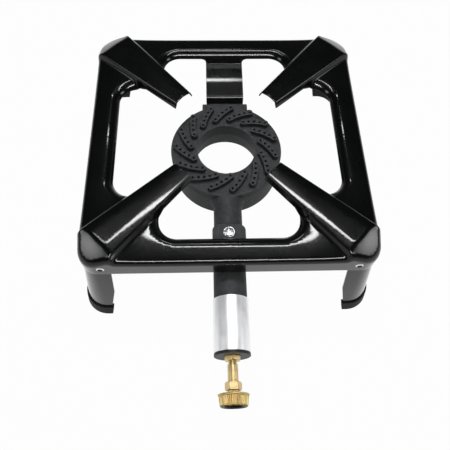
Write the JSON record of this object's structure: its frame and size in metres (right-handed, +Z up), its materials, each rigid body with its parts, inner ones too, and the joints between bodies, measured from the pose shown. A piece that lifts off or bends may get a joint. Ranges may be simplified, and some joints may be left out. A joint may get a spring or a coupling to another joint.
{
  "type": "propane burner stand",
  "caption": "Low square stand of black enamelled pressed steel on splayed legs, with diagonal pan ribs around a cast ring gas burner, its mixing tube, sliding air shutter and union nut.",
  "frame": {"origin": "centre of the footprint of the whole part, on the floor plane that the feet rest on", "axes": "+X to the right and +Y to the back as seen from the gas inlet side, +Z up; the gas inlet points along -Y"},
  "size_m": [0.3236, 0.4378, 0.124],
  "materials": {
    "enamelled_steel": "gloss black enamel",
    "black_rubber": "moulded, satin",
    "bright_zinc": "bright zinc plate",
    "painted_iron": "sand casting under matt black heat-resistant paint",
    "turned_aluminium": "bright turned",
    "black_plate": "black painted steel",
    "yellow_zinc": "yellow passivated zinc plate",
    "brass": "turned"
  },
  "bodies": {
    "stand": {"top_frame": "enamelled_steel", "leg_front_left": "enamelled_steel", "leg_front_right": "enamelled_steel", "leg_rear_left": "enamelled_steel", "leg_rear_right": "enamelled_steel", "foot_front_left": "black_rubber", "foot_front_right": "black_rubber", "foot_rear_left": "black_rubber", "foot_rear_right": "black_rubber", "leg_rivets": "bright_zinc", "burner_body": "painted_iron", "burner_head": "painted_iron", "burner_bolt": "bright_zinc", "end_disc": "black_plate", "lock_nut": "yellow_zinc", "gas_pipe": "yellow_zinc", "gas_jet": "brass", "inlet_nipple": "yellow_zinc", "seal_washer": "black_rubber"},
    "shutter": {"air_shutter": "turned_aluminium"},
    "union": {"union_nut": "yellow_zinc"}
  },
  "joints": [
    {"name": "shutter_slide", "type": "slide", "parent": "stand", "child": "shutter", "axis": [0, 1, 0], "range_m": [0, 0.022]},
    {"name": "union_spin", "type": "hinge", "parent": "stand", "child": "union", "pos_m": [0, -0.21291, 0.071], "axis": [0, 1, 0], "continuous": true}
  ]
}
